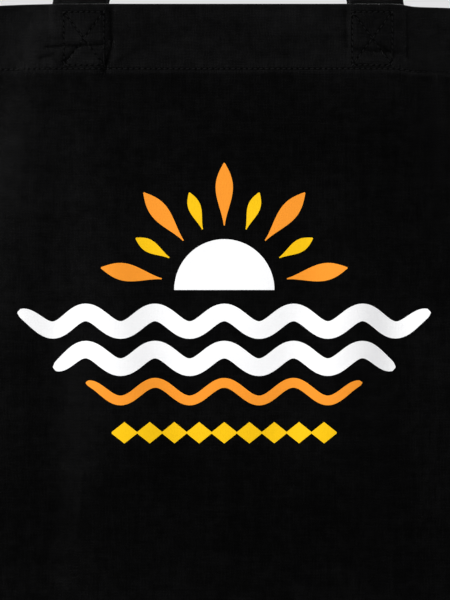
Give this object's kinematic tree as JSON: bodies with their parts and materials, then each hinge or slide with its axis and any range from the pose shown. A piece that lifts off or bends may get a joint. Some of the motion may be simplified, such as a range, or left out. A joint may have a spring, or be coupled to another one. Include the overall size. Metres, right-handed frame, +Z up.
{
  "type": "tote bag",
  "caption": "Black cotton tote bag with a hemmed open mouth, two long strap handles sewn inside the hem and a screen print on the front, hanging by its handles",
  "frame": {"origin": "the hang point: between the two handles, at the underside of their highest place, where a peg bears", "axes": "+X to the right seen from the printed front, +Y from front to back, +Z up"},
  "size_m": [0.38, 0.0584, 0.7399],
  "materials": {
    "canvas": "black plain-weave cotton canvas",
    "lining": "inner side of the black canvas",
    "webbing": "folded black cotton strap with fine cross ribs",
    "thread": "black polyester thread, slight sheen",
    "ink_white": "white screen-printed ink, matt",
    "ink_orange": "orange screen-printed ink, matt",
    "ink_yellow": "yellow screen-printed ink, matt"
  },
  "bodies": {
    "bag": {"front_panel": "canvas", "front_hem_facing": "lining", "front_hem_stitch": "thread", "front_strap_end_left": "webbing", "front_box_stitch_left": "thread", "front_strap_end_right": "webbing", "front_box_stitch_right": "thread", "back_panel": "canvas", "back_hem_facing": "lining", "back_hem_stitch": "thread", "back_strap_end_left": "webbing", "back_box_stitch_left": "thread", "back_strap_end_right": "webbing", "back_box_stitch_right": "thread", "side_seam_left": "lining", "side_seam_right": "lining", "bottom_seam": "lining", "print_sun": "ink_white", "print_ray_1": "ink_orange", "print_ray_2": "ink_yellow", "print_ray_3": "ink_orange", "print_ray_4": "ink_yellow", "print_ray_5": "ink_orange", "print_ray_6": "ink_yellow", "print_ray_7": "ink_orange", "print_ray_8": "ink_yellow", "print_ray_9": "ink_orange", "print_wave_1": "ink_white", "print_wave_2": "ink_white", "print_wave_3": "ink_orange", "print_diamonds": "ink_yellow"},
    "front_strap": {"front_handle": "webbing"},
    "back_strap": {"back_handle": "webbing"}
  },
  "joints": [
    {"name": "front_handle_fold", "type": "hinge", "parent": "bag", "child": "front_strap", "pos_m": [0, -0.0232, -0.31795], "axis": [1, 0, 0], "range_deg": [0, 170]},
    {"name": "back_handle_fold", "type": "hinge", "parent": "bag", "child": "back_strap", "pos_m": [0, 0.0232, -0.31795], "axis": [-1, 0, 0], "range_deg": [0, 170]}
  ]
}
